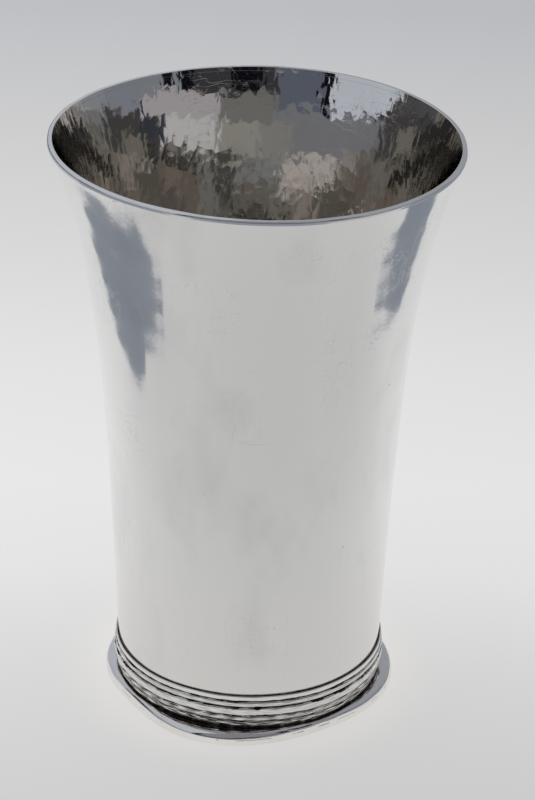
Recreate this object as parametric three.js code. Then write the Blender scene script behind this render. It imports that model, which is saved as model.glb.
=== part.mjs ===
// Silver communion beaker: a flared wall raised from sheet, a wire along its lip, a base
// plate let into its lower end, five reeded wires round the foot and a heavy foot ring.
// Millimetres, +Z up, origin on the table at the middle of the foot.

import * as THREE from "three";

// Driving dimensions of the body
const CUP_HEIGHT = 178;
const MOUTH_DIAMETER = 120;
const WALL_FOOT_DIAMETER = 79.8;
const WALL_THICKNESS = 0.9;
const WALL_LEAN = 7.5;
const FLARE_POWER = 4.7;

// The wire along the lip
const LIP_WIRE_WIDTH = 1.7;
const LIP_WIRE_HEIGHT = 1.2;
const LIP_OVERHANG = 0.2;

// The plate that closes the lower end
const BASE_PLATE_THICKNESS = 1;
const BASE_PLATE_RECESS = 2.6;
const BASE_PLATE_DOME = 1.2;

// The reeded wires above the foot ring, from the lowest to the highest
const REED_HEIGHTS = [1.85, 1.95, 2.55, 1.85, 1.6];
const REED_SPACING = 0.25;
const REED_PROJECTION = 1.35;
const REED_CLEARANCE = 1.1;

// The foot ring, a round ring that wear has pushed in at two places (angles in degrees)
const FOOT_RING_PROJECTION = 5.3;
const FOOT_RING_LEDGE = 1.5;
const FOOT_RING_HEIGHT = 3.9;
const FOOT_EDGE_HEIGHT = 1.8;
const FOOT_SHOULDER_WIDTH = 3.2;
const FOOT_EDGE_CHAMFER = 0.25;
const FOOT_DENTS = [
  { angle: -148, spread: 27, depth: 3.7 },
  { angle: -57, spread: 35, depth: 4 },
];

// Space that the solder fills between neighbouring pieces
const SOLDER_GAP = 0.1;

// Fineness of the facets
const ROUND_SEGMENTS = 64;
const WALL_STEPS = 15;
const ARC_STEPS = 6;
const PLATE_STEPS = 5;

// Heights of the wall's lower and upper edges, and of the base plate's rim
const WALL_BOTTOM = FOOT_RING_HEIGHT + SOLDER_GAP;
const WALL_TOP = CUP_HEIGHT - LIP_WIRE_HEIGHT;
const WALL_TOP_RADIUS = MOUTH_DIAMETER / 2 - LIP_OVERHANG;
const BASE_PLATE_BOTTOM = WALL_BOTTOM + BASE_PLATE_RECESS;

function silver(color, roughness) {
  return new THREE.MeshStandardMaterial({ color, roughness, metalness: 1 });
}

const polishedSilver = silver(0xd2d0cc, 0.14);
const hammeredSilver = silver(0xcbc9c6, 0.2);
const wornSilver = silver(0xc2bfba, 0.28);

// Outside radius of the wall: a straight lean plus a flare that grows towards the lip.
function outerRadius(z) {
  const rise = (z - WALL_BOTTOM) / (WALL_TOP - WALL_BOTTOM);
  const foot = WALL_FOOT_DIAMETER / 2;
  const flare = WALL_TOP_RADIUS - foot - WALL_LEAN;
  return foot + WALL_LEAN * rise + flare * Math.max(rise, 0) ** FLARE_POWER;
}

// How far the wall leans out for each millimetre of height.
function wallSlope(z) {
  const rise = (z - WALL_BOTTOM) / (WALL_TOP - WALL_BOTTOM);
  const flare = WALL_TOP_RADIUS - WALL_FOOT_DIAMETER / 2 - WALL_LEAN;
  const growth = WALL_LEAN + flare * FLARE_POWER * Math.max(rise, 0) ** (FLARE_POWER - 1);
  return growth / (WALL_TOP - WALL_BOTTOM);
}

// Inside radius of the wall, for an even thickness square to its surface.
function innerRadius(z) {
  return outerRadius(z) - WALL_THICKNESS * Math.hypot(1, wallSlope(z));
}

// Turns a profile of [radius, height] points about the Z axis.
function revolve(profile) {
  const points = profile.map(([radius, height]) => new THREE.Vector2(radius, height));
  return new THREE.LatheGeometry(points, ROUND_SEGMENTS).rotateX(Math.PI / 2);
}

// A profile that closes on itself, for rings.
function closed(profile) {
  return [...profile, profile[0]];
}

// Points of a quarter or half ellipse about a centre, between two angles.
function arc(centre, semiWidth, semiHeight, from, to, steps) {
  const points = [];
  for (let i = 0; i <= steps; i += 1) {
    const angle = THREE.MathUtils.lerp(from, to, i / steps);
    const radius = centre[0] + semiWidth * Math.cos(angle);
    const height = centre[1] + semiHeight * Math.sin(angle);
    points.push([radius, height]);
  }
  return points;
}

function piece(name, geometry, material) {
  const mesh = new THREE.Mesh(geometry, material);
  mesh.name = name;
  return mesh;
}

// The flared wall, with rings set closer where the curve is stronger.
function beakerWall() {
  const outside = [];
  const inside = [];
  for (let i = 0; i <= WALL_STEPS; i += 1) {
    const share = Math.sin((i / WALL_STEPS) * (Math.PI / 2));
    const z = THREE.MathUtils.lerp(WALL_BOTTOM, WALL_TOP, share);
    outside.push([outerRadius(z), z]);
    inside.push([innerRadius(z), z]);
  }
  const geometry = revolve(closed([...outside, ...inside.reverse()]));
  return piece("beaker_wall", geometry, hammeredSilver);
}

// A D-section wire that stands on the wall's upper edge, round side up.
function lipWire() {
  const seat = WALL_TOP + SOLDER_GAP;
  const middle = (MOUTH_DIAMETER - LIP_WIRE_WIDTH) / 2;
  const crown = arc([middle, seat], LIP_WIRE_WIDTH / 2, CUP_HEIGHT - seat, 0, Math.PI, ARC_STEPS);
  return piece("lip_wire", revolve(closed(crown)), polishedSilver);
}

// The base plate, let into the wall and domed upwards.
function basePlate() {
  const rim = innerRadius(BASE_PLATE_BOTTOM) - SOLDER_GAP;
  const underside = [];
  const topside = [];
  for (let i = 0; i <= PLATE_STEPS; i += 1) {
    const share = i / PLATE_STEPS;
    const z = BASE_PLATE_BOTTOM + BASE_PLATE_DOME * (1 - share * share);
    underside.push([rim * share, z]);
    topside.push([rim * share, z + BASE_PLATE_THICKNESS]);
  }
  return piece("base_plate", revolve([...underside, ...topside.reverse()]), hammeredSilver);
}

// One reed: a D-section wire bent round the wall, flat side in.
function reedWire(name, low, height) {
  const half = height / 2;
  const bulge = arc([0, half], REED_PROJECTION, half, -Math.PI / 2, Math.PI / 2, ARC_STEPS);
  const profile = bulge.map(([out, z]) => [outerRadius(low + z) + SOLDER_GAP + out, z]);
  const reed = piece(name, revolve(closed(profile)), wornSilver);
  reed.position.z = low;
  return reed;
}

// The reeds, stacked from the foot ring up and numbered from the top down.
function reedWires() {
  let low = FOOT_RING_HEIGHT + REED_CLEARANCE;
  return REED_HEIGHTS.map((height, index) => {
    const reed = reedWire(`reed_wire_${REED_HEIGHTS.length - index}`, low, height);
    low += height + REED_SPACING;
    return reed;
  });
}

// How far the foot ring's edge is pushed in at an angle.
function dentDepth(angle) {
  let depth = 0;
  for (const dent of FOOT_DENTS) {
    const away = THREE.MathUtils.euclideanModulo(angle - dent.angle + 180, 360) - 180;
    depth += dent.depth * Math.exp(-((away / dent.spread) ** 2));
  }
  return depth;
}

// Pushes a ring's points in by the dents: nothing at the bore, most at the edge.
function addDents(geometry, bore, edge) {
  const position = geometry.getAttribute("position");
  for (let i = 0; i < position.count; i += 1) {
    const x = position.getX(i);
    const y = position.getY(i);
    const radius = Math.hypot(x, y);
    const share = (radius - bore) / (edge - bore);
    const depth = dentDepth(THREE.MathUtils.radToDeg(Math.atan2(y, x)));
    const stretch = 1 - (depth * share) / radius;
    position.setXY(i, x * stretch, y * stretch);
  }
  geometry.computeVertexNormals();
  return geometry;
}

// The foot ring: flat below, a steep edge with a small chamfer, and a rounded shoulder.
function footRing() {
  const bore = innerRadius(WALL_BOTTOM) - FOOT_RING_LEDGE;
  const edge = outerRadius(WALL_BOTTOM) + FOOT_RING_PROJECTION;
  const shoulderHeight = FOOT_RING_HEIGHT - FOOT_EDGE_HEIGHT;
  const turn = [edge - FOOT_SHOULDER_WIDTH, FOOT_EDGE_HEIGHT];
  const profile = [
    [bore, 0],
    [edge - FOOT_EDGE_CHAMFER, 0],
    [edge, FOOT_EDGE_CHAMFER],
    ...arc(turn, FOOT_SHOULDER_WIDTH, shoulderHeight, 0, Math.PI / 2, ARC_STEPS),
    [bore, FOOT_RING_HEIGHT],
  ];
  const geometry = addDents(revolve(closed(profile)), bore, edge);
  return piece("foot_ring", geometry, wornSilver);
}

const bowl = new THREE.Group();
bowl.add(beakerWall(), lipWire(), basePlate());

const foot = new THREE.Group();
foot.add(...reedWires(), footRing());

const beaker = new THREE.Group();
beaker.add(bowl, foot);

export default beaker;
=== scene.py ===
# Looks of the silver communion beaker: a fine mesh for each of its nine pieces, hand-worked
# silver, and a pale table top under soft light. Metres, +Z up, the cup's front towards -Y.
import math

import bpy
import numpy as np
from mathutils import Matrix, Vector


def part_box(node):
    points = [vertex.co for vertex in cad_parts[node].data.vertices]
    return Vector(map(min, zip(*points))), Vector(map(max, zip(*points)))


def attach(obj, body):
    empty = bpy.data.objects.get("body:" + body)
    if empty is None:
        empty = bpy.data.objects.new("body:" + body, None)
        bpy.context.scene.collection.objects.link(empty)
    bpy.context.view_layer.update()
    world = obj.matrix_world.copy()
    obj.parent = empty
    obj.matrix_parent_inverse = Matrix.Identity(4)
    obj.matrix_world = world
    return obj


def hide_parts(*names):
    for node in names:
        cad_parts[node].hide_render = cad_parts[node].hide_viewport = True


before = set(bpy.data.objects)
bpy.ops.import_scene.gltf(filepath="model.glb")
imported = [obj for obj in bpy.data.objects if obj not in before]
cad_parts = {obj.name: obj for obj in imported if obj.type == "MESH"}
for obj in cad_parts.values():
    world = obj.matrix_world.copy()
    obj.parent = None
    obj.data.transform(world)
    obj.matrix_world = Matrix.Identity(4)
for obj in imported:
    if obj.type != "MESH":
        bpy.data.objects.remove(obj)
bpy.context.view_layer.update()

MM = 0.001
TURN = 2 * math.pi
BODY = "root"

# The camera, from the photograph's perspective (its frame is 535 by 800 pixels)
CAMERA_BACK = 773.35 * MM
CAMERA_HEIGHT = 486.5 * MM
CAMERA_PITCH = math.radians(26.89)
CAMERA_YAW = math.radians(0.316)
CAMERA_ROLL = math.radians(1.289)
CAMERA_LENS = 130.74
CAMERA_SENSOR = 36

# Fineness of the meshes
WALL_COLUMNS = 640
WALL_ROWS = 250
RING_COLUMNS = 900
LIP_STEPS = 24
REED_STEPS = 40
PLATE_COLUMNS = 360
PLATE_RINGS = 60
PROFILE_DEGREE = 7

# The wall as hand work leaves it: shallow dents and planishing outside, hammer marks inside
DENT_LENGTH = 34 * MM
DENT_DEPTH = 0.012 * MM
PLANISH_LENGTH = 10 * MM
PLANISH_DEPTH = 0.004 * MM
HAMMER_LENGTH = 4.5 * MM
HAMMER_DEPTH = 0.006 * MM
PEEN_LENGTH = 2.4 * MM
PEEN_DEPTH = 0.003 * MM

# The wall is hammered thicker towards the lip
CAULK_FROM = 138 * MM
CAULK_DEPTH = 0.7 * MM

# The mouth, slightly out of round and out of level
MOUTH_WARP_FROM = 60 * MM
MOUTH_OVAL = -0.23 * MM
MOUTH_TRIANGLE = -0.31 * MM
MOUTH_TILT = -0.42 * MM
MOUTH_TWIST = 0.12 * MM

# The lip: a flat top between a rounded outer corner and a sharp inner one
LIP_ROUND_WIDTH = 0.6 * MM
LIP_ROUND_HEIGHT = 0.75 * MM
LIP_SHARP = 0.06 * MM
LIP_WOBBLE = [(14 * MM, 0.02 * MM), (4 * MM, 0.006 * MM)]

# A close second row of points keeps an edge crisp
CRISP = 0.01 * MM

# The reeds, flat-faced wires drawn and filed by hand, from the top one down
REED_COUNT = 5
REED_SQUARE = (5.0, 3.5, 5.0, 3.0, 2.2)
REED_REACH = (0.5, 0.75, 1.0, 0.8, 0.45)
REED_FILE_DEPTH = (0.006 * MM, 0.018 * MM, 0.015 * MM, 0.02 * MM, 0.016 * MM)
# How much each reed is darkened all over, in streaks; the lower reeds are darker
REED_DARKENING = (0.03, 0.2, 0.14, 0.42, 0.6)
REED_FILE_AROUND = 7 * MM
REED_FILE_UP = 0.7 * MM
REED_SWAY = 0.05 * MM
REED_SWAY_LENGTH = 30 * MM
REED_SWAY_UP = 1000 * MM
REED_RAGGED = 0.12 * MM
REED_RAGGED_LENGTH = 5 * MM
REED_SEAT = 0.1 * MM

# Dirt that creeps from the grooves onto the reeds, as shares of half a reed's height
CREEP_LENGTH = 8 * MM
CREEP_FINE_LENGTH = 2 * MM
CREEP_EDGE = 0.84
CREEP_SLOW = 0.2
CREEP_FAST = 0.12
CREEP_TOP_EDGE = 0.94
CREEP_FADE = 0.1

# How far the lines of dirt are broken along their length
BREAK_LENGTH = 18 * MM
BREAK_MIDDLE = 0.55
BREAK_SWING = 0.5
BREAK_LEAST = 0.15

# Length of waviness across a reed, counted in halves of its height
ACROSS = 1.5

# The foot ring, with its dents as angle and spread in degrees, then depth
FOOT_DENTS = [(-148, 27, 3.7 * MM), (-57, 35, 4 * MM)]
FOOT_EDGE_HEIGHT = 1.8 * MM
FOOT_SHOULDER_WIDTH = 3.2 * MM
FOOT_EDGE_ROUND = 0.3 * MM
FOOT_EDGE_STEPS = 7
FOOT_STEP = 0.15 * MM
FOOT_SHOULDER_STEPS = 20
FOOT_UNDER_STEP = 0.4 * MM
FOOT_DECK_STEP = 0.3 * MM
FOOT_WAVE_LENGTH = 9 * MM
FOOT_WAVE_HEIGHT = 4 * MM
FOOT_WAVE_DEPTH = 0.018 * MM
FOOT_CALM_HEIGHT = 1 * MM

# The base plate
PLATE_THICKNESS = 1 * MM
PLATE_HAMMER_LENGTH = 7 * MM
PLATE_HAMMER_DEPTH = 0.012 * MM
PLATE_CALM_POWER = 8

# Spread of the wave lengths in random waviness, how many waves make it up, and its seeds
WAVE_SPREAD = (0.75, 1.35)
WAVE_COUNT = 48
DENT_SEED = 11
PLANISH_SEED = 12
HAMMER_SEED = 13
PEEN_SEED = 14
LIP_SEED = 21
REED_FILE_SEED = 40
REED_SWAY_SEED = 50
REED_RAGGED_SEED = 60
FOOT_WAVE_SEED = 61
CREEP_SEED = 70
PLATE_SEED = 71
CREEP_FINE_SEED = 75
STREAK_SEED = 80
BREAK_SEED = 85

# Dirt and painted shade in the grooves, by distance from the seam
GROOVE_DIRT_SHADE_REACH = 0.2 * MM
FOOT_DIRT_SHADE_FROM = 0.4 * MM
FOOT_DIRT_SHADE_REACH = 0.4 * MM

# Marks in the silver, as repeats for each metre
CLOUD_SCALE = 55.0
FALL_SCALE = 260.0
CROSS_SCALE = 300.0
SCRATCH_PATCH_SCALE = 40.0
PIT_SCALE = 190.0
PIT_PATCH_SCALE = 75.0
DIRT_PATCH_SCALE = 420.0
SMEAR_SCALE = 42.0
FACET_SCALE = 380.0

# How marks are stretched along x, y and z, and turned, in radians
FALL_STRETCH = (1.0, 1.0, 0.045)
FALL_TURN = (0.25, 0.35, 0.0)
CROSS_STRETCH = (0.06, 1.0, 1.0)
CROSS_TURN = (0.0, 0.6, 0.3)
SMEAR_STRETCH = (1.0, 1.0, 0.55)
SMEAR_TURN = (0.3, 0.6, 0.0)
FACET_STRETCH = (1.0, 1.0, 0.7)

# Levels of noise between which a mark fades in or out
TINT_LEVELS = (0.35, 0.7)
POLISH_LEVELS = (0.3, 0.7)
SCRATCH_PATCH_LEVELS = (0.5, 0.62)
PIT_LEVELS = (0.04, 0.11)
PIT_PATCH_LEVELS = (0.64, 0.7)
DIRT_PATCH_LEVELS = (0.3, 0.7)
SMEAR_LEVELS = (0.52, 0.75)

# How strongly the marks show
FALL_WIDTH = 0.006
CROSS_WIDTH = 0.005
SCRATCH_ROUGHNESS = 0.08
PIT_DIRT = 0.3
DIRT_PATCH_STRENGTH = (0.75, 1.25)
DIRT_ROUGHNESS = 0.5

# Places of the colours among a Mix node's sockets
MIX_FIRST = 6
MIX_SECOND = 7
MIX_RESULT = 2

# Silver and what lies on it
SILVER = (0.853, 0.851, 0.845, 1)
SILVER_WARM = (0.872, 0.845, 0.825, 1)
SILVER_BRIGHT = (0.95, 0.94, 0.92, 1)
SILVER_DULL = (0.92, 0.90, 0.87, 1)
SMEAR = (0.5, 0.5, 0.5, 1)
# Colour of dirt, and of painted shade in the grooves
DIRT_SHADE_COLOUR = (0.035, 0.028, 0.024, 1)
WARM_BELOW = 60 * MM
WARM_FULL = 18 * MM

# The table, a pale sheet that glows a little
FLOOR_SIZE = 20.0
FLOOR_LIFT = -0.1 * MM
FLOOR_GLOW = 0.82
FLOOR_ROUGHNESS = 0.8

# Painted pool of light: brightness of the table from front to back, as (y in metres, colour)
TABLE_LIGHT_POOL = [
    (-0.30, (0.54, 0.54, 0.54)),
    (-0.17, (0.565, 0.565, 0.565)),
    (-0.07, (0.625, 0.625, 0.625)),
    (0.0, (0.69, 0.69, 0.69)),
    (0.06, (0.765, 0.765, 0.765)),
    (0.12, (0.785, 0.785, 0.785)),
    (0.21, (0.745, 0.745, 0.745)),
    (0.32, (0.665, 0.665, 0.665)),
    (0.46, (0.585, 0.585, 0.592)),
    (0.62, (0.495, 0.505, 0.53)),
]

# Painted shade: how the table darkens towards both sides, and a little from left to right
SIDE_NEAR = 0.13
SIDE_FAR = 0.2
SIDE_SHADE = 0.92
LEAN_REACH = 0.12
LEAN_RIGHT = 0.022

# The warm glow painted on the table round the foot, where the silver would throw light
HALO_NEAR = 46 * MM
HALO_FAR = 66 * MM
HALO = (1.09, 1.075, 1.055, 1)

# Cards for the first, the second or any later mirror image
FIRST_IMAGE = 1
SECOND_IMAGE = 2
LATER_IMAGES = 3

# Dull ground round the sheet that the outside of the cup mirrors: height, then (x, y) corners
GROUND_COLOUR = (0.235, 0.26, 0.3)
GROUND_LOW = 1 * MM
GROUND_HIGH = 40 * MM
GROUND_BACK = 0.75
GROUND_FAR = 10.0
GROUNDS = {
    "ground_left": (GROUND_LOW, [
        (-0.197, -0.037), (-0.197, -0.012), (-0.206, 0.03), (-0.2095, 0.08), (-0.21, 0.12), (-0.206, 0.2),
        (-0.206, GROUND_BACK), (-GROUND_FAR, GROUND_BACK), (-GROUND_FAR, -0.037),
    ]),
    "ground_left_front": (GROUND_HIGH, [
        (-0.30, -0.28), (-0.15, -0.1), (-0.133, -0.078), (-0.139, -0.07), (-0.1415, -0.062),
        (-0.1455, -0.05), (-0.149, -0.036), (-0.153, -0.03), (-0.159, -0.018), (-0.1645, 0.0),
        (-GROUND_FAR, 0.0), (-GROUND_FAR, -0.28),
    ]),
    "ground_right": (GROUND_HIGH, [
        (0.30, -0.08), (GROUND_FAR, -0.08), (GROUND_FAR, GROUND_BACK), (0.172, GROUND_BACK),
        (0.172, 0.16), (0.165, 0.1), (0.162, 0.075), (0.1595, 0.055), (0.1605, 0.03), (0.161, 0.0),
        (0.1585, -0.012), (0.156, -0.025), (0.175, -0.035),
    ]),
    "ground_front": (GROUND_LOW, [
        (-GROUND_FAR, -0.40), (-GROUND_FAR, -GROUND_FAR), (GROUND_FAR, -GROUND_FAR), (GROUND_FAR, -0.40),
    ]),
    "ground_back": (GROUND_LOW, [
        (-GROUND_FAR, GROUND_BACK), (GROUND_FAR, GROUND_BACK),
        (GROUND_FAR, GROUND_FAR), (-GROUND_FAR, GROUND_FAR),
    ]),
}

# Cards that the metal mirrors: name, bearings from the camera's side, elevations (degrees), colour
CARD_DISTANCE = 4.0
NEAR_CARD_DISTANCE = 3.9
CARD_STEP = 8
CARD_CENTRE = Vector((0, 0, 0.165))
BLACK = (0.003, 0.003, 0.005)
FIRST_CARDS = [
    ("panel_right_near", 58, 64, 11.5, 20, (0.165, 0.18, 0.205)),
    ("panel_right", 64, 76, 8.5, 20, (0.165, 0.18, 0.205)),
    ("panel_right_wide", 76, 99, 5.5, 20, (0.165, 0.18, 0.205)),
    ("panel_right_far", 99, 125, 3, 20, (0.19, 0.2, 0.22)),
    ("gap_right", 48, 52, 12.5, 21, (0.17, 0.19, 0.22)),
    ("dark_front", -10, 40, 15, 22, (0.03, 0.03, 0.033)),
    ("panel_dim", -38, -10, 11.5, 22.5, (0.085, 0.095, 0.125)),
    ("panel_left_near", -60, -44, 8.8, 19.5, (0.41, 0.435, 0.49)),
    ("panel_left", -84, -60, 7, 19.5, (0.41, 0.435, 0.49)),
    ("panel_left_far", -92, -84, 9.5, 19.5, (0.38, 0.4, 0.45)),
    ("screen_front", -9, 24, 1, 15.5, (0.13, 0.128, 0.122)),
    ("screen_left", -44, -9, 1, 11.5, (0.14, 0.145, 0.155)),
    ("screen_left_low", -64, -44, 1, 8.8, (0.14, 0.145, 0.155)),
    ("shade_left", -84, -72, 3.5, 7, (0.03, 0.03, 0.032)),
    ("shade_left_far", -104, -84, 3.5, 9.5, (0.05, 0.048, 0.05)),
    ("shade_right", 66, 76, 4, 8.5, (0.03, 0.03, 0.035)),
    ("wall_left", -140, -108, 9.5, 21, (0.4, 0.42, 0.46)),
    ("wall_left_dim", -108, -92, 9.5, 21, (0.06, 0.058, 0.06)),
    ("wall_right", 125, 140, 9.5, 21, (0.3, 0.31, 0.33)),
    ("sky_left", -140, -44, 21, 80, (0.45, 0.47, 0.51)),
    ("sky_front", -44, 40, 22.5, 80, (0.2, 0.205, 0.225)),
    ("sky_right", 40, 140, 21, 80, (0.28, 0.295, 0.33)),
    ("sky_back_left", -180, -140, 9.5, 80, (0.44, 0.47, 0.52)),
    ("sky_back_right", 140, 180, 9.5, 80, (0.29, 0.305, 0.335)),
    ("horizon_left", -104, -72, -3, 3.5, (0.3, 0.29, 0.29)),
    ("horizon_back_left", -180, -104, -3, 9.5, (0.06, 0.058, 0.06)),
    ("horizon_right", 73, 125, -3, 3, (0.26, 0.255, 0.255)),
    ("horizon_back_right", 125, 180, -3, 9.5, (0.29, 0.3, 0.33)),
]
FIRST_NEAR_CARDS = [
    ("screen_right", 24, 62, 1, 14.2, (0.29, 0.275, 0.29)),
    ("screen_right_low", 62, 73, 1, 11, (0.29, 0.275, 0.29)),
    ("post_right_outer", 52, 58, 14.3, 50, BLACK),
    ("post_right_inner", 40, 48, 14.3, 50, BLACK),
    ("stand_front", 0, 17, 16.5, 24, BLACK),
    ("post_left", -44, -38, 10.5, 50, BLACK),
]
SECOND_CARDS = [
    ("second_brown", -34, -4, 11, 26, (0.13, 0.121, 0.108)),
    ("second_brown_left", -78, -58, 20, 26, (0.145, 0.135, 0.12)),
    ("second_dark_side", -58, -34, 20, 26, (0.045, 0.043, 0.045)),
    ("second_post", -60, -30, 26, 40, (0.03, 0.033, 0.045)),
    ("second_dark_front", -30, 20, 26, 38, (0.045, 0.043, 0.045)),
    ("second_dark_low", -4, 20, 0, 26, (0.045, 0.043, 0.045)),
    ("second_corner", 20, 50, 6, 18, (0.14, 0.135, 0.13)),
    ("second_dark_left", -104, -34, 0, 11, (0.02, 0.02, 0.02)),
    ("second_dark_near", -104, -34, 11, 20, (0.02, 0.02, 0.02)),
    ("second_dark_olive", -104, -78, 20, 25, (0.06, 0.058, 0.05)),
    ("second_dark_right", 50, 80, 0, 17, (0.02, 0.02, 0.02)),
    ("second_pink", 50, 80, 17, 23, (0.2, 0.188, 0.184)),
    ("second_light", -126, -60, 26, 54, (0.4, 0.4, 0.41)),
    ("second_strip", -118, -104, 9, 26, (0.13, 0.13, 0.125)),
    ("second_back", -180, -126, 26, 56, (0.215, 0.215, 0.20)),
    ("second_dark_back", -150, -118, 9, 26, (0.05, 0.05, 0.045)),
    ("second_blue", 150, 210, 9, 23, (0.145, 0.15, 0.16)),
    ("second_right", 20, 140, 23, 52, (0.15, 0.155, 0.172)),
    ("second_back_right", 140, 180, 23, 56, (0.18, 0.18, 0.175)),
    ("second_pale", 80, 150, 9, 23, (0.34, 0.315, 0.305)),
]
LATER_CARDS = [
    ("later_dark", -60, 80, 5, 29, (0.014, 0.013, 0.012)),
    ("later_corner", -40, -20, 29, 37, (0.14, 0.132, 0.125)),
    ("later_dim", -20, 35, 29, 37, (0.05, 0.047, 0.043)),
    ("later_front", -40, 48, 37, 60, (0.105, 0.098, 0.088)),
    ("later_left", -75, -40, 29, 47, (0.13, 0.122, 0.112)),
    ("later_pink", -110, -75, 25, 47, (0.19, 0.172, 0.16)),
    ("later_olive", -165, -110, 25, 47, (0.075, 0.072, 0.064)),
    ("later_pale", -150, -50, 47, 60, (0.32, 0.297, 0.288)),
    ("later_brown", 120, 158, 25, 60, (0.1, 0.088, 0.078)),
    ("later_warm", 158, 195, 36, 60, (0.13, 0.112, 0.1)),
    ("later_warm_low", 158, 195, 25, 36, (0.075, 0.066, 0.06)),
    ("later_grey", 85, 120, 25, 60, (0.13, 0.127, 0.122)),
    ("later_post", 48, 85, 38, 60, (0.04, 0.04, 0.038)),
    ("later_side", 35, 85, 29, 38, (0.1, 0.095, 0.088)),
]

# Low screens behind the cup, which the foot ring mirrors: name, bearings, colour
SKIRTS = [
    ("skirt_left", -180, -104, (0.42, 0.445, 0.49)),
    ("skirt_right", 125, 180, (0.29, 0.3, 0.33)),
]
SKIRT_DISTANCE = 0.4
SKIRT_LOW = 3 * MM
SKIRT_HIGH = 90 * MM
SKIRT_STEPS = 12

# The room, as metal mirrors it, and the even light on the table
ROOM_LOW = (0.04, 0.038, 0.036, 1)
ROOM_MIDDLE = (0.105, 0.098, 0.088, 1)
ROOM_HIGH = (0.24, 0.25, 0.275, 1)
ROOM_STOPS = [(0.0, ROOM_LOW), (0.12, ROOM_MIDDLE), (0.75, ROOM_MIDDLE), (0.9, ROOM_HIGH)]
AMBIENT = (0.95, 0.95, 0.95, 1)
BACKDROP = (0.56, 0.565, 0.58, 1)

# A soft lamp behind the cup on the left, aimed at the foot
LAMP_PLACE = (-0.35, 0.25, 1.1)
LAMP_SIZE = 0.7
LAMP_POWER = 2.6


def wave_sum(u, v, u_length, v_length, seed, round_trip=None):
    """Smooth random waviness of about unit height over u and v, which closes after a round trip."""
    rng = np.random.default_rng(seed)
    total = np.zeros(np.broadcast(u, v).shape)
    for _ in range(WAVE_COUNT):
        heading = rng.uniform(0, TURN)
        scale = rng.uniform(*WAVE_SPREAD)
        phase = rng.uniform(0, TURN)
        u_rate = TURN * scale * math.cos(heading) / u_length
        if round_trip:
            u_rate = TURN * round(u_rate * round_trip / TURN) / round_trip
        v_rate = TURN * scale * math.sin(heading) / v_length
        total += np.cos(u_rate * u + v_rate * v + phase)
    return total * math.sqrt(2 / WAVE_COUNT)


def node_profile(name):
    """Heights of a turned node's rings, with the least and the greatest radius at each."""
    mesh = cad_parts[name].data
    points = np.empty(len(mesh.vertices) * 3)
    mesh.vertices.foreach_get("co", points)
    points = points.reshape(-1, 3)
    radius = np.hypot(points[:, 0], points[:, 1])
    level = np.round(points[:, 2], 5)
    heights = np.unique(level)
    inner = np.array([radius[level == height].min() for height in heights])
    outer = np.array([radius[level == height].max() for height in heights])
    return heights, inner, outer


def turned(profile, columns):
    """Points [section, column] of a profile of (radius, height) turned about the Z axis."""
    angle = np.linspace(0, TURN, columns, endpoint=False)
    radius = profile[:, :1]
    height = np.repeat(profile[:, 1:], columns, axis=1)
    return np.stack([radius * np.cos(angle), radius * np.sin(angle), height], axis=-1)


def outward(points):
    """Unit normals of the points of a ring whose sections run up outside and down inside."""
    along = np.roll(points, -1, axis=1) - np.roll(points, 1, axis=1)
    up = np.roll(points, -1, axis=0) - np.roll(points, 1, axis=0)
    normal = np.cross(along, up)
    return normal / np.linalg.norm(normal, axis=-1, keepdims=True)


def warp_mouth(points):
    """The points, moved as the mouth is out of round and out of level."""
    x, y, z = np.moveaxis(points, -1, 0)
    radius = np.hypot(x, y)
    angle = np.arctan2(y, x)
    share = np.clip((z - MOUTH_WARP_FROM) / (wall_top - MOUTH_WARP_FROM), 0, 1) ** 2
    grown = radius + share * (MOUTH_OVAL * np.sin(2 * angle) + MOUTH_TRIANGLE * np.cos(3 * angle))
    raised = z + share * (MOUTH_TILT * np.cos(angle) + MOUTH_TWIST * np.sin(2 * angle))
    return np.stack([grown * np.cos(angle), grown * np.sin(angle), raised], axis=-1)


def quad_faces(bands, sections, columns):
    """Quads of the given number of bands between neighbouring sections of a turned shape."""
    row, column = np.meshgrid(np.arange(bands), np.arange(columns), indexing="ij")
    next_row = (row + 1) % sections
    next_column = (column + 1) % columns
    corners = [(row, column), (row, next_column), (next_row, next_column), (next_row, column)]
    return np.stack([r * columns + c for r, c in corners], axis=-1).reshape(-1, 4).tolist()


def ring_object(name, points, dirt_and_shade, materials, face_material=None):
    """A closed ring of points[section, column] as an object, with its dirt and painted shade as an
    attribute.
    """
    sections, columns = points.shape[:2]
    faces = quad_faces(sections, sections, columns)
    obj = mesh_object(name, points.reshape(-1, 3), faces, dirt_and_shade, materials)
    if face_material is not None:
        obj.data.polygons.foreach_set("material_index", np.repeat(face_material, columns))
    return obj


def mesh_object(name, points, faces, dirt_and_shade, materials):
    """A smooth mesh object with a value of dirt and painted shade at each point."""
    mesh = bpy.data.meshes.new(name)
    mesh.from_pydata(points.tolist(), [], faces)
    mesh.shade_smooth()
    layer = mesh.attributes.new("dirt_and_shade", "FLOAT", "POINT")
    layer.data.foreach_set("value", np.clip(np.ravel(dirt_and_shade), 0, 1))
    for material in materials:
        mesh.materials.append(material)
    obj = bpy.data.objects.new(name, mesh)
    bpy.context.scene.collection.objects.link(obj)
    return obj


def add_piece(obj, cad_node):
    """Puts a finished mesh in the place of its node."""
    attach(obj, BODY)
    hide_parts(cad_node)


def new_material(name):
    material = bpy.data.materials.new(name)
    material.use_nodes = True
    material.node_tree.nodes.clear()
    return material, material.node_tree


def node(tree, kind, sockets=(), **settings):
    """A shader node: each socket gets a value, or a link where an output is given."""
    made = tree.nodes.new("ShaderNode" + kind)
    for key, value in settings.items():
        setattr(made, key, value)
    for key, value in dict(sockets).items():
        if isinstance(value, bpy.types.NodeSocket):
            tree.links.new(value, made.inputs[key])
        else:
            made.inputs[key].default_value = value
    return made


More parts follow.
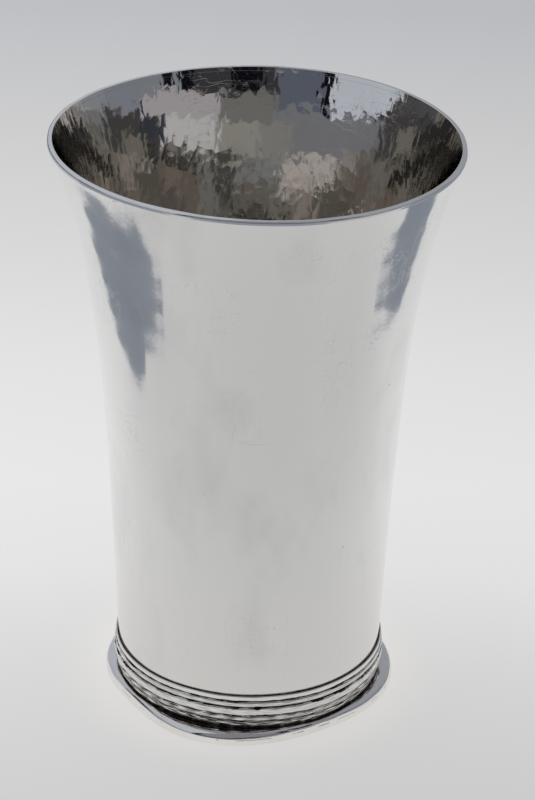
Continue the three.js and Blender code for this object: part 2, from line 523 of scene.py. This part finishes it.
def math_node(tree, operation, a, b=0.0):
    return node(tree, "Math", {0: a, 1: b}, operation=operation).outputs[0]


def map_range(tree, value, low, high, to_low, to_high):
    sockets = {"Value": value, "From Min": low, "From Max": high, "To Min": to_low, "To Max": to_high}
    return node(tree, "MapRange", sockets).outputs[0]


def noise(tree, place, scale, detail=3.0, stretch=None, turn=(0, 0, 0)):
    """Noise over the piece, stretched and turned where marks run one way."""
    if stretch:
        place = node(tree, "Mapping", {"Vector": place, "Rotation": turn, "Scale": stretch}).outputs[0]
    return node(tree, "TexNoise", {"Vector": place, "Scale": scale, "Detail": detail}).outputs["Fac"]


def thin_lines(tree, field, width):
    """One along the middle level of a noise field, for hairline scratches."""
    off_middle = math_node(tree, "ABSOLUTE", math_node(tree, "SUBTRACT", field, 0.5))
    return map_range(tree, off_middle, 0.0, width, 1.0, 0.0)


def mix_colour(tree, factor, first, second):
    sockets = {"Factor": factor, MIX_FIRST: first, MIX_SECOND: second}
    return node(tree, "Mix", sockets, data_type="RGBA").outputs[MIX_RESULT]


def multiply(tree, first, second):
    sockets = {"Factor": 1.0, MIX_FIRST: first, MIX_SECOND: second}
    return node(tree, "Mix", sockets, data_type="RGBA", blend_type="MULTIPLY").outputs[MIX_RESULT]


def set_stops(ramp, stops):
    """Gives a colour ramp its (place, colour) stops."""
    elements = ramp.color_ramp.elements
    while len(elements) < len(stops):
        elements.new(1.0)
    for element, (at, colour) in zip(elements, stops):
        element.position = at
        element.color = colour


def hairlines(tree, place):
    """Patches of fine scratches that run two ways."""
    fall = noise(tree, place, FALL_SCALE, 2.0, FALL_STRETCH, FALL_TURN)
    cross = noise(tree, place, CROSS_SCALE, 2.0, CROSS_STRETCH, CROSS_TURN)
    falling = thin_lines(tree, fall, FALL_WIDTH)
    crossing = thin_lines(tree, cross, CROSS_WIDTH)
    patches = noise(tree, place, SCRATCH_PATCH_SCALE, 2.0)
    patches = map_range(tree, patches, *SCRATCH_PATCH_LEVELS, 0.0, 1.0)
    return math_node(tree, "MULTIPLY", math_node(tree, "MAXIMUM", falling, crossing), patches)


def small_pits(tree, place):
    """A few round pits, in rare patches."""
    spots = node(tree, "TexVoronoi", {"Vector": place, "Scale": PIT_SCALE}).outputs["Distance"]
    spots = map_range(tree, spots, *PIT_LEVELS, 1.0, 0.0)
    patches = map_range(tree, noise(tree, place, PIT_PATCH_SCALE, 1.0), *PIT_PATCH_LEVELS, 0.0, 1.0)
    return math_node(tree, "MULTIPLY", spots, patches)


def groove_dirt_and_shade(tree, place, pits):
    """The mesh's own dirt and painted shade, made patchy, with a little dirt in the pits."""
    layer = node(tree, "Attribute", attribute_name="dirt_and_shade").outputs["Fac"]
    patches = noise(tree, place, DIRT_PATCH_SCALE, 3.0)
    patches = map_range(tree, patches, *DIRT_PATCH_LEVELS, *DIRT_PATCH_STRENGTH)
    in_grooves = math_node(tree, "MULTIPLY", layer, patches)
    in_pits = math_node(tree, "MULTIPLY", pits, PIT_DIRT)
    return math_node(tree, "MINIMUM", math_node(tree, "ADD", in_grooves, in_pits), 1.0)


def smeared(tree, place, metal, scratches, smears):
    """The metal's colour, dulled where it was rubbed or scratched."""
    rubbed = noise(tree, place, SMEAR_SCALE, 5.0, SMEAR_STRETCH, SMEAR_TURN)
    rubbed = map_range(tree, rubbed, *SMEAR_LEVELS, 0.0, smears)
    dulled = math_node(tree, "ADD", rubbed, math_node(tree, "MULTIPLY", scratches, smears))
    return mix_colour(tree, dulled, metal, SMEAR)


def bump(tree, height, distance, below=None):
    """Relief of a height field, on top of another relief where one is given."""
    sockets = {"Height": height, "Strength": 1.0, "Distance": distance}
    if below is not None:
        sockets["Normal"] = below
    return node(tree, "Bump", sockets).outputs[0]


def peen_facets(tree, place):
    """Small dished facets."""
    spread = node(tree, "Mapping", {"Vector": place, "Scale": FACET_STRETCH}).outputs[0]
    cell = node(tree, "TexVoronoi", {"Vector": spread, "Scale": FACET_SCALE}).outputs["Distance"]
    return math_node(tree, "MULTIPLY", cell, cell)


def silver(name, colours, polish, grain, scratch_depth, facet_depth=0.0, warm_foot=False, smears=0.0):
    """Worn silver: cloudy polish, grain, hairline scratches, a few pits, and dirt and painted shade in
    the grooves.
    """
    material, tree = new_material(name)
    place = node(tree, "TexCoord").outputs["Object"]
    cloud = noise(tree, place, CLOUD_SCALE, 4.0)
    scratches = hairlines(tree, place)
    pits = small_pits(tree, place)
    dirt_and_shade = groove_dirt_and_shade(tree, place, pits)
    tint = map_range(tree, cloud, *TINT_LEVELS, 0.0, 1.0)
    if warm_foot:
        height = node(tree, "SeparateXYZ", {0: place}).outputs["Z"]
        tint = map_range(tree, height, WARM_BELOW, WARM_FULL, 0.0, 1.0)
    metal = mix_colour(tree, tint, *colours)
    if smears:
        metal = smeared(tree, place, metal, scratches, smears)
    worn = map_range(tree, cloud, *POLISH_LEVELS, *polish)
    worn = math_node(tree, "ADD", worn, math_node(tree, "MULTIPLY", scratches, SCRATCH_ROUGHNESS))
    grain_scale, grain_depth = grain
    relief = bump(tree, noise(tree, place, grain_scale, 2.0), grain_depth)
    if facet_depth:
        relief = bump(tree, peen_facets(tree, place), facet_depth, relief)
    cut = math_node(tree, "SUBTRACT", 0.0, math_node(tree, "ADD", scratches, pits))
    finish = {
        # Dirt and painted shade darken the colour
        "Base Color": mix_colour(tree, dirt_and_shade, metal, DIRT_SHADE_COLOUR),
        "Metallic": 1.0,
        "Roughness": math_node(tree, "ADD", worn, math_node(tree, "MULTIPLY", dirt_and_shade, DIRT_ROUGHNESS)),
        "Normal": bump(tree, cut, scratch_depth, relief),
    }
    shader = node(tree, "BsdfPrincipled", finish)
    node(tree, "OutputMaterial", {"Surface": shader.outputs[0]})
    return material


outside_silver = silver(
    "planished_silver",
    colours=(SILVER, SILVER_WARM),
    polish=(0.05, 0.085),
    grain=(700.0, 0.004 * MM),
    scratch_depth=0.006 * MM,
    warm_foot=True,
    smears=0.3,
)
inside_silver = silver(
    "hammered_silver",
    colours=(SILVER_BRIGHT, SILVER_DULL),
    polish=(0.03, 0.06),
    grain=(900.0, 0.008 * MM),
    scratch_depth=0.004 * MM,
    facet_depth=0.05 * MM,
)
lip_silver = silver(
    "polished_silver",
    colours=(SILVER_BRIGHT, SILVER_DULL),
    polish=(0.1, 0.16),
    grain=(900.0, 0.006 * MM),
    scratch_depth=0.006 * MM,
)
foot_silver = silver(
    "worn_silver",
    colours=(SILVER_BRIGHT, SILVER_WARM),
    polish=(0.06, 0.12),
    grain=(900.0, 0.01 * MM),
    scratch_depth=0.012 * MM,
)

# Heights and radii of the wall, read from its node
wall_heights, wall_inner, wall_outer = node_profile("beaker_wall")
wall_bottom, wall_top = wall_heights[0], wall_heights[-1]
rise = (wall_heights - wall_bottom) / (wall_top - wall_bottom)
outer_curve = np.polyfit(rise, wall_outer, PROFILE_DEGREE)
inner_curve = np.polyfit(rise, wall_inner, PROFILE_DEGREE)
reed_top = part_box("reed_wire_1")[1][2]
reed_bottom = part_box("reed_wire_5")[0][2]


def outer_radius(height):
    return np.polyval(outer_curve, (height - wall_bottom) / (wall_top - wall_bottom))


def inner_radius(height):
    return np.polyval(inner_curve, (height - wall_bottom) / (wall_top - wall_bottom))


def wall_profile():
    """The wall's section, up the outside and down the inside."""
    heights = np.linspace(wall_bottom, wall_top, WALL_ROWS)
    heights[1] = wall_bottom + CRISP
    heights[-2] = wall_top - CRISP
    outside = np.stack([outer_radius(heights), heights], axis=1)
    climb = np.clip((heights - CAULK_FROM) / (wall_top - CAULK_FROM), 0, 1)
    caulk = CAULK_DEPTH * climb**2 * (3 - 2 * climb)
    inside = np.stack([inner_radius(heights) - caulk, heights], axis=1)[::-1]
    return np.concatenate([outside, inside])


def make_wall():
    points = turned(wall_profile(), WALL_COLUMNS)
    normal = outward(points)
    # Rows at the sharp edges lean as their neighbours do
    normal[[0, WALL_ROWS - 1, WALL_ROWS, -1]] = normal[[1, WALL_ROWS - 2, WALL_ROWS + 1, -2]]
    middle = wall_outer.mean()
    girth = TURN * middle
    around = np.arctan2(points[..., 1], points[..., 0]) * middle
    height = points[..., 2]
    dents = DENT_DEPTH * wave_sum(around, height, DENT_LENGTH, DENT_LENGTH, DENT_SEED, girth)
    planish = wave_sum(around, height, PLANISH_LENGTH, PLANISH_LENGTH, PLANISH_SEED, girth)
    hammer = HAMMER_DEPTH * wave_sum(around, height, HAMMER_LENGTH, HAMMER_LENGTH, HAMMER_SEED, girth)
    hammer += PEEN_DEPTH * wave_sum(around, height, PEEN_LENGTH, PEEN_LENGTH, PEEN_SEED, girth)
    clear = np.clip((height - reed_top) / DENT_LENGTH, 0, 1)
    is_outside = np.arange(2 * WALL_ROWS) < WALL_ROWS
    outside_lift = clear * (dents + PLANISH_DEPTH * planish)
    lift = np.where(is_outside[:, None], outside_lift, hammer - clear * dents)
    # Dirt and painted shade on the wall behind the reeds and in the dark groove line just above the top
    # reed
    behind_reeds = np.clip((reed_top + GROOVE_DIRT_SHADE_REACH - height) / GROOVE_DIRT_SHADE_REACH, 0, 1)
    dirt_and_shade = np.where(is_outside[:, None], behind_reeds, 0)
    points = warp_mouth(points + normal * lift[..., None])
    materials = [outside_silver, inside_silver]
    wall = ring_object("beaker_wall_raised", points, dirt_and_shade, materials, np.where(is_outside, 0, 1))
    add_piece(wall, "beaker_wall")


def lip_profile(outer_edge, top):
    """The lip's section: up the outer side, over the flat top and down the inner side."""
    base_edge = inner_radius(wall_top) - CAULK_DEPTH
    slope = (inner_radius(wall_top) - inner_radius(wall_top - MM)) / MM
    inner_edge = base_edge + slope * (top - wall_top)
    side = np.linspace(wall_top, top - LIP_ROUND_HEIGHT, LIP_STEPS)
    bend = np.linspace(0, math.pi / 2, LIP_STEPS)[1:]
    flat = np.linspace(outer_edge - LIP_ROUND_WIDTH, inner_edge + LIP_SHARP, LIP_STEPS)[1:]
    inside = np.linspace(top - LIP_SHARP, wall_top, LIP_STEPS)
    radius = np.concatenate([
        np.full(LIP_STEPS, outer_edge),
        outer_edge - LIP_ROUND_WIDTH * (1 - np.cos(bend)),
        flat,
        base_edge + slope * (inside - wall_top),
    ])
    height = np.concatenate([
        side,
        top - LIP_ROUND_HEIGHT * (1 - np.sin(bend)),
        np.full(len(flat), top),
        inside,
    ])
    return np.stack([radius, height], axis=1)


def make_lip():
    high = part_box("lip_wire")[1]
    outer_edge, top = high[0], high[2]
    profile = lip_profile(outer_edge, top)
    points = turned(profile, RING_COLUMNS)
    normal = outward(points)
    # Rows at the sharp edges lean as their neighbours do
    normal[[0, -1]] = normal[[1, -2]]
    girth = TURN * outer_edge
    around = np.arctan2(points[..., 1], points[..., 0]) * outer_edge
    height = points[..., 2]
    wobble = np.zeros(height.shape)
    for step, (length, depth) in enumerate(LIP_WOBBLE):
        wobble += depth * wave_sum(around, height, length, length, LIP_SEED + step, girth)
    is_inside = np.arange(len(profile)) >= len(profile) - LIP_STEPS
    wobble[is_inside] = 0
    clean = np.zeros(height.shape)
    points = warp_mouth(points + normal * wobble[..., None])
    materials = [lip_silver, inside_silver]
    lip = ring_object("lip_wire_soldered", points, clean, materials, is_inside.astype(int))
    add_piece(lip, "lip_wire")


def reed_dirt_and_darkening(number, share, around, level, girth):
    """Dirt and darkening on a reed: ragged, broken lines of dirt along its grooves and a streaky
    darkening over its face, heavier on the lower reeds.
    """
    side = np.sign(share)
    creep = np.tanh(wave_sum(around, side, CREEP_LENGTH, ACROSS, CREEP_SEED + number, girth))
    fine = np.tanh(wave_sum(around, side, CREEP_FINE_LENGTH, ACROSS, CREEP_FINE_SEED + number, girth))
    creep_from = CREEP_EDGE - CREEP_SLOW * creep - CREEP_FAST * fine
    # Above the top reed there is no groove to hold dirt
    if number == 1:
        creep_from = np.where(side > 0, CREEP_TOP_EDGE, creep_from)
    lines = np.clip((np.abs(share) - creep_from) / CREEP_FADE, 0, 1)
    breaks = wave_sum(around, side, BREAK_LENGTH, ACROSS, BREAK_SEED + number, girth)
    broken = np.clip(BREAK_MIDDLE + BREAK_SWING * breaks, BREAK_LEAST, 1)
    # A streaky darkening over the reed's face, stronger on the lower reeds
    streaks = wave_sum(around, level, REED_FILE_AROUND, REED_FILE_UP / 2, STREAK_SEED + number, girth)
    streaky_darkening = np.clip(REED_DARKENING[number - 1] * (1 + streaks), 0, 1)
    return np.maximum(lines * broken, streaky_darkening)


def make_reed(number):
    name = f"reed_wire_{number}"
    low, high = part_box(name)
    bottom, top = low[2], high[2]
    middle = (bottom + top) / 2
    square = REED_SQUARE[number - 1]
    share = np.sin(np.linspace(-math.pi / 2, math.pi / 2, REED_STEPS))[:, None]
    fullness = np.clip(1 - np.abs(share) ** square, 0, 1) ** (1 / square)
    height = middle + (top - bottom) / 2 * share
    reach = high[0] - outer_radius(middle) - REED_SEAT
    radius = outer_radius(height) + REED_SEAT + reach * REED_REACH[number - 1] * fullness
    points = turned(np.concatenate([radius, height], axis=1), RING_COLUMNS)
    foot_radius = outer_radius(bottom)
    girth = TURN * foot_radius
    around = np.arctan2(points[..., 1], points[..., 0]) * foot_radius
    level = points[..., 2].copy()
    filed = wave_sum(around, level, REED_FILE_AROUND, REED_FILE_UP, REED_FILE_SEED + number, girth)
    lift = REED_FILE_DEPTH[number - 1] * filed * fullness
    points += outward(points) * lift[..., None]
    sway = wave_sum(around[:1], level[:1], REED_SWAY_LENGTH, REED_SWAY_UP, REED_SWAY_SEED, girth)
    seed = REED_RAGGED_SEED + number
    ragged = np.tanh(wave_sum(around[:1], share, REED_RAGGED_LENGTH, ACROSS, seed, girth))
    edges = np.abs(share) ** 3
    # The top reed's upper edge is straight
    if number == 1:
        edges = edges * (share < 0)
    points[..., 2] += REED_SWAY * sway + REED_RAGGED * ragged * edges
    dirt_and_shade = reed_dirt_and_darkening(number, share, around, level, girth)
    reed = ring_object(f"{name}_drawn", points, dirt_and_shade, [foot_silver])
    add_piece(reed, name)


def foot_profile(bore, edge, top):
    """The foot ring's section: flat below, a steep edge, a rounded shoulder and a flat top."""
    flat = np.arange(bore, edge - FOOT_EDGE_ROUND, FOOT_UNDER_STEP)[1:]
    corner = np.linspace(-math.pi / 2, 0, FOOT_EDGE_STEPS)
    rising = np.arange(FOOT_EDGE_ROUND + FOOT_STEP, FOOT_EDGE_HEIGHT, FOOT_STEP)
    bend = np.linspace(0, math.pi / 2, FOOT_SHOULDER_STEPS)
    turn = edge - FOOT_SHOULDER_WIDTH
    back = np.arange(turn - FOOT_DECK_STEP, bore, -FOOT_DECK_STEP)
    radius = np.concatenate([
        [bore, bore, bore + CRISP],
        flat,
        edge - FOOT_EDGE_ROUND + FOOT_EDGE_ROUND * np.cos(corner),
        np.full(len(rising), edge),
        turn + FOOT_SHOULDER_WIDTH * np.cos(bend),
        back,
        [bore + CRISP, bore, bore],
    ])
    height = np.concatenate([
        [CRISP, 0, 0],
        np.zeros(len(flat)),
        FOOT_EDGE_ROUND + FOOT_EDGE_ROUND * np.sin(corner),
        rising,
        FOOT_EDGE_HEIGHT + (top - FOOT_EDGE_HEIGHT) * np.sin(bend),
        np.full(len(back), top),
        [top, top, top - CRISP],
    ])
    return np.stack([radius, height], axis=1)


def foot_dents(angle):
    """How far the foot ring's edge is pushed in at each angle."""
    depth = np.zeros(angle.shape)
    for at, spread, deep in FOOT_DENTS:
        away = (np.degrees(angle) - at + 180) % 360 - 180
        depth += deep * np.exp(-((away / spread) ** 2))
    return depth


def make_foot_ring():
    heights, inner, outer = node_profile("foot_ring")
    bore, edge = inner.min(), outer.max()
    profile = foot_profile(bore, edge, heights[-1])
    points = turned(profile, RING_COLUMNS)
    angle = np.arctan2(points[..., 1], points[..., 0])
    share = (profile[:, :1] - bore) / (edge - bore)
    radius = profile[:, :1] - foot_dents(angle) * share
    points[..., 0] = radius * np.cos(angle)
    points[..., 1] = radius * np.sin(angle)
    around, height = angle * edge, points[..., 2]
    worn = wave_sum(around, height, FOOT_WAVE_LENGTH, FOOT_WAVE_HEIGHT, FOOT_WAVE_SEED, TURN * edge)
    above_table = np.clip(height / FOOT_CALM_HEIGHT, 0, 1)
    # Dirt and painted shade on the foot ring's top next to the wall, in the gap under the lowest reed
    seam = outer_radius(reed_bottom) + FOOT_DIRT_SHADE_FROM
    clear = np.clip((radius - seam) / FOOT_DIRT_SHADE_REACH, 0, 1)
    lift = FOOT_WAVE_DEPTH * worn * above_table * clear
    points = points + outward(points) * lift[..., None]
    dirt_and_shade = (1 - clear) * (points[..., 2] > FOOT_EDGE_HEIGHT)
    ring = ring_object("foot_ring_worn", points, dirt_and_shade, [foot_silver])
    add_piece(ring, "foot_ring")


def plate_faces(rings, columns):
    """Quads between the plate's rings, and a fan of triangles to each of its two poles."""
    faces = quad_faces(rings - 1, rings, columns)
    low_pole, high_pole = rings * columns, rings * columns + 1
    last = (rings - 1) * columns
    for column in range(columns):
        after = (column + 1) % columns
        faces.append([low_pole, after, column])
        faces.append([last + column, last + after, high_pole])
    return faces


def make_base_plate():
    low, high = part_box("base_plate")
    rim = node_profile("base_plate")[2].max()
    crown = high[2] - PLATE_THICKNESS - low[2]
    share = np.linspace(0, 1, PLATE_RINGS)[1:]
    under = np.stack([rim * share, low[2] + crown * (1 - share**2)], axis=1)
    over = under[::-1] + [0, PLATE_THICKNESS]
    points = turned(np.concatenate([under, over]), PLATE_COLUMNS)
    x, y = points[..., 0], points[..., 1]
    hammer = wave_sum(x, y, PLATE_HAMMER_LENGTH, PLATE_HAMMER_LENGTH, PLATE_SEED)
    inward = 1 - share**PLATE_CALM_POWER
    inward = np.concatenate([inward, inward[::-1]])[:, None]
    points[..., 2] += PLATE_HAMMER_DEPTH * hammer * inward
    faces = plate_faces(*points.shape[:2])
    poles = [[0, 0, points[0, :, 2].mean()], [0, 0, points[-1, :, 2].mean()]]
    points = np.concatenate([points.reshape(-1, 3), poles])
    plate = mesh_object("base_plate_domed", points, faces, np.zeros(len(points)), [inside_silver])
    add_piece(plate, "base_plate")


def add_stage(name, points, faces, material):
    mesh = bpy.data.meshes.new(name)
    mesh.from_pydata(points, [], faces)
    mesh.materials.append(material)
    obj = bpy.data.objects.new(name, mesh)
    bpy.context.scene.collection.objects.link(obj)
    return obj


def floor_material():
    """A pale sheet with a painted pool of light, brightest just behind the cup, painted shade towards the
    sides and the right, and a painted warm glow round the foot.
    """
    material, tree = new_material("pale_table")
    place = node(tree, "TexCoord").outputs["Object"]
    axes = node(tree, "SeparateXYZ", {0: place}).outputs
    front, back = TABLE_LIGHT_POOL[0][0], TABLE_LIGHT_POOL[-1][0]
    # Painted pool of light, from front to back
    ramp = node(tree, "ValToRGB", {"Fac": map_range(tree, axes["Y"], front, back, 0.0, 1.0)})
    set_stops(ramp, [((y - front) / (back - front), (*colour, 1)) for y, colour in TABLE_LIGHT_POOL])
    # Painted shade, a little darker to the right
    lean = map_range(tree, axes["X"], -LEAN_REACH, LEAN_REACH, 1 + LEAN_RIGHT, 1 - LEAN_RIGHT)
    distance = node(tree, "VectorMath", {0: place}, operation="LENGTH").outputs["Value"]
    # Painted warm glow round the foot
    near = map_range(tree, distance, HALO_NEAR, HALO_FAR, 1.0, 0.0)
    halo = mix_colour(tree, math_node(tree, "POWER", near, 2.0), (1, 1, 1, 1), HALO)
    # Painted shade towards both sides
    aside = math_node(tree, "ABSOLUTE", axes["X"])
    shade = map_range(tree, aside, SIDE_NEAR, SIDE_FAR, 1.0, SIDE_SHADE)
    tone = multiply(tree, ramp.outputs["Color"], halo)
    tone = multiply(tree, tone, math_node(tree, "MULTIPLY", lean, shade))
    sockets = {
        "Base Color": mix_colour(tree, FLOOR_GLOW, tone, (0, 0, 0, 1)),
        "Roughness": FLOOR_ROUGHNESS,
        "Specular IOR Level": 0.0,
        "Emission Color": tone,
        "Emission Strength": FLOOR_GLOW,
    }
    shader = node(tree, "BsdfPrincipled", sockets)
    node(tree, "OutputMaterial", {"Surface": shader.outputs[0]})
    return material


def glow_material(name, colour, image=0):
    """A plain glow, or one that shows only in the given mirror image: the first, second, or any later."""
    material, tree = new_material(name)
    glow = node(tree, "Emission", {"Color": (*colour, 1), "Strength": 1.0}).outputs[0]
    if image:
        depth = node(tree, "LightPath").outputs["Glossy Depth"]
        depth = math_node(tree, "MINIMUM", depth, float(LATER_IMAGES))
        shown = node(tree, "Math", {0: depth, 1: float(image), 2: 0.5}, operation="COMPARE").outputs[0]
        clear = node(tree, "BsdfTransparent").outputs[0]
        glow = node(tree, "MixShader", {0: shown, 1: clear, 2: glow}).outputs[0]
    node(tree, "OutputMaterial", {"Surface": glow})
    return material


def mirror_only(obj):
    """Shows a card in polished metal and nowhere else."""
    obj.visible_camera = False
    obj.visible_diffuse = False
    obj.visible_transmission = False
    obj.visible_volume_scatter = False
    obj.visible_shadow = False


def make_floor():
    half = FLOOR_SIZE / 2
    outline = [(-half, -half), (half, -half), (half, half), (-half, half)]
    corners = [(x, y, FLOOR_LIFT) for x, y in outline]
    add_stage("table_top", corners, [(0, 1, 2, 3)], floor_material())


def make_grounds():
    material = glow_material("dull_ground", GROUND_COLOUR)
    for name, (level, outline) in GROUNDS.items():
        corners = [(x, y, level) for x, y in outline]
        mirror_only(add_stage(name, corners, [tuple(range(len(corners)))], material))


def direction(bearing, elevation):
    """Unit vector for a bearing from the camera's side (positive to the right) and an elevation."""
    b, e = math.radians(bearing), math.radians(elevation)
    return Vector((math.sin(b) * math.cos(e), -math.cos(b) * math.cos(e), math.sin(e)))


def make_cards(cards, distance, image):
    for name, from_bearing, to_bearing, low, high, colour in cards:
        steps = max(2, math.ceil((to_bearing - from_bearing) / CARD_STEP) + 1)
        rows = max(2, math.ceil((high - low) / CARD_STEP) + 1)
        bearings = np.linspace(from_bearing, to_bearing, steps)
        heights = np.linspace(low, high, rows)
        points = [CARD_CENTRE + direction(b, e) * distance for b in bearings for e in heights]
        corner = [i * rows + j for i in range(steps - 1) for j in range(rows - 1)]
        faces = [(c, c + rows, c + rows + 1, c + 1) for c in corner]
        mirror_only(add_stage(name, points, faces, glow_material(name, colour, image)))


def make_skirts():
    for name, from_bearing, to_bearing, colour in SKIRTS:
        bearings = np.linspace(from_bearing, to_bearing, SKIRT_STEPS)
        feet = [direction(bearing, 0) * SKIRT_DISTANCE for bearing in bearings]
        points = [foot + Vector((0, 0, level)) for foot in feet for level in (SKIRT_LOW, SKIRT_HIGH)]
        faces = [(i, i + 2, i + 3, i + 1) for i in range(0, len(points) - 2, 2)]
        mirror_only(add_stage(name, points, faces, glow_material(name, colour, FIRST_IMAGE)))


def make_world():
    world = bpy.data.worlds.new("soft_room")
    bpy.context.scene.world = world
    world.use_nodes = True
    tree = world.node_tree
    tree.nodes.clear()
    path = node(tree, "LightPath")
    up = node(tree, "SeparateXYZ", {0: node(tree, "TexCoord").outputs["Generated"]}).outputs["Z"]
    ramp = node(tree, "ValToRGB", {"Fac": up})
    set_stops(ramp, ROOM_STOPS)
    colour = mix_colour(tree, path.outputs["Is Glossy Ray"], AMBIENT, ramp.outputs["Color"])
    colour = mix_colour(tree, path.outputs["Is Camera Ray"], colour, BACKDROP)
    glow = node(tree, "Background", {"Color": colour, "Strength": 1.0})
    node(tree, "OutputWorld", {"Surface": glow.outputs[0]})


def make_lamp():
    light = bpy.data.lights.new("soft_lamp", "AREA")
    light.shape = "DISK"
    light.size = LAMP_SIZE
    light.energy = LAMP_POWER
    lamp = bpy.data.objects.new("soft_lamp", light)
    lamp.location = LAMP_PLACE
    lamp.rotation_euler = (-Vector(LAMP_PLACE)).to_track_quat("-Z", "Y").to_euler()
    lamp.visible_glossy = False
    bpy.context.scene.collection.objects.link(lamp)


def make_camera():
    camera = bpy.data.cameras.new("camera")
    camera.lens = CAMERA_LENS
    camera.sensor_width = CAMERA_SENSOR
    ahead = Vector((
        math.sin(CAMERA_YAW) * math.cos(CAMERA_PITCH),
        math.cos(CAMERA_YAW) * math.cos(CAMERA_PITCH),
        -math.sin(CAMERA_PITCH),
    ))
    right = Vector((math.cos(CAMERA_YAW), -math.sin(CAMERA_YAW), 0))
    up = right.cross(ahead)
    rolled_right = right * math.cos(CAMERA_ROLL) + up * math.sin(CAMERA_ROLL)
    rolled_up = up * math.cos(CAMERA_ROLL) - right * math.sin(CAMERA_ROLL)
    turn = Matrix((rolled_right, rolled_up, -ahead)).transposed()
    obj = bpy.data.objects.new("camera", camera)
    obj.matrix_world = Matrix.Translation((0, -CAMERA_BACK, CAMERA_HEIGHT)) @ turn.to_4x4()
    bpy.context.scene.collection.objects.link(obj)
    bpy.context.scene.camera = obj


make_wall()
make_lip()
for reed_number in range(1, REED_COUNT + 1):
    make_reed(reed_number)
make_foot_ring()
make_base_plate()

make_camera()
make_floor()
make_grounds()
make_cards(FIRST_CARDS, CARD_DISTANCE, FIRST_IMAGE)
make_cards(FIRST_NEAR_CARDS, NEAR_CARD_DISTANCE, FIRST_IMAGE)
make_cards(SECOND_CARDS, CARD_DISTANCE, SECOND_IMAGE)
make_cards(LATER_CARDS, CARD_DISTANCE, LATER_IMAGES)
make_skirts()
make_world()
make_lamp()
bpy.context.scene.view_settings.view_transform = "Standard"
